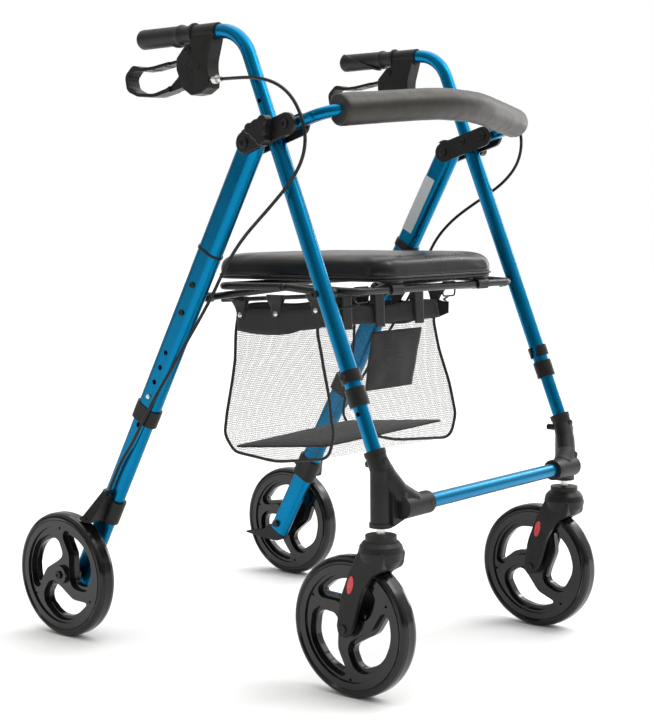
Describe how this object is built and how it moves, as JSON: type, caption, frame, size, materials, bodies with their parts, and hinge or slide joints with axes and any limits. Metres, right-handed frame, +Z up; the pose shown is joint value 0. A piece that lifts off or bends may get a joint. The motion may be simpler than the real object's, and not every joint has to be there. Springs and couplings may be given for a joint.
{
  "type": "rollator walker",
  "caption": "Folding wheeled walker with swivelling front castors, height-adjustable handles, loop brake levers, padded seat, bowed foam backrest and a mesh bag under the seat.",
  "frame": {"origin": "middle of the bounding box on the floor", "axes": "+Z up, -Y the walking direction, +X towards the user's left"},
  "size_m": [0.594, 0.7652, 0.9528],
  "materials": {
    "blue_tube": "satin anodised blue",
    "black_plastic": "matte moulded black",
    "black_steel": "satin black coating",
    "bright_steel": "bright zinc plated",
    "foam": "matte closed-cell foam",
    "grip_rubber": "textured matte",
    "tyre": "satin dark grey",
    "seat_vinyl": "semi-gloss grained vinyl",
    "bag_mesh": "black mesh",
    "reflector": "glossy red"
  },
  "bodies": {
    "frame": {"front_leg_right": "blue_tube", "front_leg_left": "blue_tube", "hinge_plates_right": "black_plastic", "hinge_plates_left": "black_plastic", "hinge_bolts": "black_steel", "front_leg_collars": "black_plastic", "backrest_tube": "blue_tube", "backrest_pad": "foam"},
    "front_lower": {"front_tubes_lower": "blue_tube", "castor_bracket_right": "black_plastic", "castor_bracket_left": "black_plastic", "crossbar": "blue_tube"},
    "rear_frame": {"rear_leg_right": "blue_tube", "rear_leg_left": "blue_tube", "rear_leg_collars": "black_plastic", "rear_seat_brackets": "black_steel", "cable_right": "black_steel", "cable_left": "black_steel"},
    "seat_frame": {"seat_frame": "black_steel", "basket": "bag_mesh"},
    "seat": {"seat_pad": "seat_vinyl"},
    "brace": {"brace_bars": "black_steel"},
    "handle_right": {"handle_tube_right": "blue_tube", "grip_right": "grip_rubber", "brake_housing_right": "black_plastic", "brake_hardware_right": "bright_steel"},
    "brake_lever_right": {"brake_lever_right": "black_plastic"},
    "knob_right": {"height_knob_right": "black_plastic"},
    "castor_right": {"castor_fork_right": "black_plastic", "castor_stem_right": "bright_steel", "reflector_right": "reflector"},
    "front_wheel_right": {"front_rim_right": "black_plastic", "front_tyre_right": "tyre"},
    "rear_lower_right": {"rear_tube_lower_right": "blue_tube", "brake_bracket_right": "black_plastic", "kerb_tip_right": "black_plastic", "rear_axle_right": "bright_steel"},
    "brake_shoe_right": {"brake_shoe_right": "grip_rubber"},
    "rear_wheel_right": {"rear_rim_right": "black_plastic", "rear_tyre_right": "tyre"},
    "snap_button_right": {"snap_button_right": "bright_steel"},
    "handle_left": {"handle_tube_left": "blue_tube", "grip_left": "grip_rubber", "brake_housing_left": "black_plastic", "brake_hardware_left": "bright_steel"},
    "brake_lever_left": {"brake_lever_left": "black_plastic"},
    "knob_left": {"height_knob_left": "black_plastic"},
    "castor_left": {"castor_fork_left": "black_plastic", "castor_stem_left": "bright_steel", "reflector_left": "reflector"},
    "front_wheel_left": {"front_rim_left": "black_plastic", "front_tyre_left": "tyre"},
    "rear_lower_left": {"rear_tube_lower_left": "blue_tube", "brake_bracket_left": "black_plastic", "kerb_tip_left": "black_plastic", "rear_axle_left": "bright_steel"},
    "brake_shoe_left": {"brake_shoe_left": "grip_rubber"},
    "rear_wheel_left": {"rear_rim_left": "black_plastic", "rear_tyre_left": "tyre"},
    "snap_button_left": {"snap_button_left": "bright_steel"}
  },
  "joints": [
    {"name": "front_leg_adjust", "type": "slide", "parent": "frame", "child": "front_lower", "axis": [0, -0.3728, -0.9279], "range_m": [-0.05, 0.05]},
    {"name": "fold", "type": "hinge", "parent": "frame", "child": "rear_frame", "pos_m": [0, -0.1042, 0.774], "axis": [-1, 0, 0], "range_deg": [0, 30], "deforming": ["cable_right", "cable_left"]},
    {"name": "seat_frame_swing", "type": "hinge", "parent": "rear_frame", "child": "seat_frame", "pos_m": [0, 0.022, 0.549], "axis": [-1, 0, 0], "range_deg": [0, 15.6]},
    {"name": "seat_lift", "type": "hinge", "parent": "seat_frame", "child": "seat", "pos_m": [0, -0.256, 0.563], "axis": [1, 0, 0], "range_deg": [0, 72.5]},
    {"name": "brace_swing", "type": "hinge", "parent": "frame", "child": "brace", "pos_m": [0, -0.227, 0.561], "axis": [1, 0, 0], "range_deg": [0, 72.5]},
    {"name": "handle_height_right", "type": "slide", "parent": "frame", "child": "handle_right", "axis": [0, 0.3728, 0.9279], "range_m": [-0.04, 0.1]},
    {"name": "brake_squeeze_right", "type": "hinge", "parent": "handle_right", "child": "brake_lever_right", "pos_m": [-0.242, 0.0115, 0.9132], "axis": [1, 0, 0], "range_deg": [0, 8], "stiffness_Nm_per_rad": 3, "springref_deg": -2.86},
    {"name": "knob_turn_right", "type": "hinge", "parent": "frame", "child": "knob_right", "pos_m": [-0.27, -0.14325, 0.79], "axis": [1, 0, 0], "continuous": true},
    {"name": "castor_swivel_right", "type": "hinge", "parent": "front_lower", "child": "castor_right", "pos_m": [-0.241, -0.3303, 0.25], "axis": [0, 0, 1], "continuous": true},
    {"name": "front_wheel_spin_right", "type": "hinge", "parent": "castor_right", "child": "front_wheel_right", "pos_m": [-0.241, -0.28255, 0.1], "axis": [1, 0, 0], "continuous": true},
    {"name": "rear_leg_adjust_right", "type": "slide", "parent": "rear_frame", "child": "rear_lower_right", "axis": [0, 0.4911, -0.8711], "range_m": [-0.053, 0.053]},
    {"name": "rear_wheel_spin_right", "type": "hinge", "parent": "rear_lower_right", "child": "rear_wheel_right", "pos_m": [-0.2764, 0.2826, 0.1], "axis": [1, 0, 0], "continuous": true},
    {"name": "brake_shoe_swing_right", "type": "hinge", "parent": "rear_lower_right", "child": "brake_shoe_right", "pos_m": [-0.269, 0.226, 0.1965], "axis": [-1, 0, 0], "range_deg": [0, 5.3]},
    {"name": "snap_press_right", "type": "slide", "parent": "rear_frame", "child": "snap_button_right", "axis": [1, 0, 0], "range_m": [0, 0.003], "stiffness_N_per_m": 800},
    {"name": "handle_height_left", "type": "slide", "parent": "frame", "child": "handle_left", "axis": [0, 0.3728, 0.9279], "range_m": [-0.04, 0.1]},
    {"name": "brake_squeeze_left", "type": "hinge", "parent": "handle_left", "child": "brake_lever_left", "pos_m": [0.242, 0.0115, 0.9132], "axis": [1, 0, 0], "range_deg": [0, 8], "stiffness_Nm_per_rad": 3, "springref_deg": -2.86},
    {"name": "knob_turn_left", "type": "hinge", "parent": "frame", "child": "knob_left", "pos_m": [0.27, -0.14325, 0.79], "axis": [1, 0, 0], "continuous": true},
    {"name": "castor_swivel_left", "type": "hinge", "parent": "front_lower", "child": "castor_left", "pos_m": [0.241, -0.3303, 0.25], "axis": [0, 0, 1], "continuous": true},
    {"name": "front_wheel_spin_left", "type": "hinge", "parent": "castor_left", "child": "front_wheel_left", "pos_m": [0.241, -0.28255, 0.1], "axis": [1, 0, 0], "continuous": true},
    {"name": "rear_leg_adjust_left", "type": "slide", "parent": "rear_frame", "child": "rear_lower_left", "axis": [0, 0.4911, -0.8711], "range_m": [-0.053, 0.053]},
    {"name": "rear_wheel_spin_left", "type": "hinge", "parent": "rear_lower_left", "child": "rear_wheel_left", "pos_m": [0.2764, 0.2826, 0.1], "axis": [1, 0, 0], "continuous": true},
    {"name": "brake_shoe_swing_left", "type": "hinge", "parent": "rear_lower_left", "child": "brake_shoe_left", "pos_m": [0.269, 0.226, 0.1965], "axis": [-1, 0, 0], "range_deg": [0, 5.3]},
    {"name": "snap_press_left", "type": "slide", "parent": "rear_frame", "child": "snap_button_left", "axis": [-1, 0, 0], "range_m": [0, 0.003], "stiffness_N_per_m": 800}
  ],
  "couplings": [
    {"joint": "seat_frame_swing", "follows": "fold", "ratio": 0.5163},
    {"joint": "seat_lift", "follows": "fold", "ratio": 2.4},
    {"joint": "brace_swing", "follows": "fold", "ratio": 2.4},
    {"joint": "brake_shoe_swing_right", "follows": "brake_squeeze_right", "ratio": 0.65},
    {"joint": "brake_shoe_swing_left", "follows": "brake_squeeze_left", "ratio": 0.65}
  ]
}
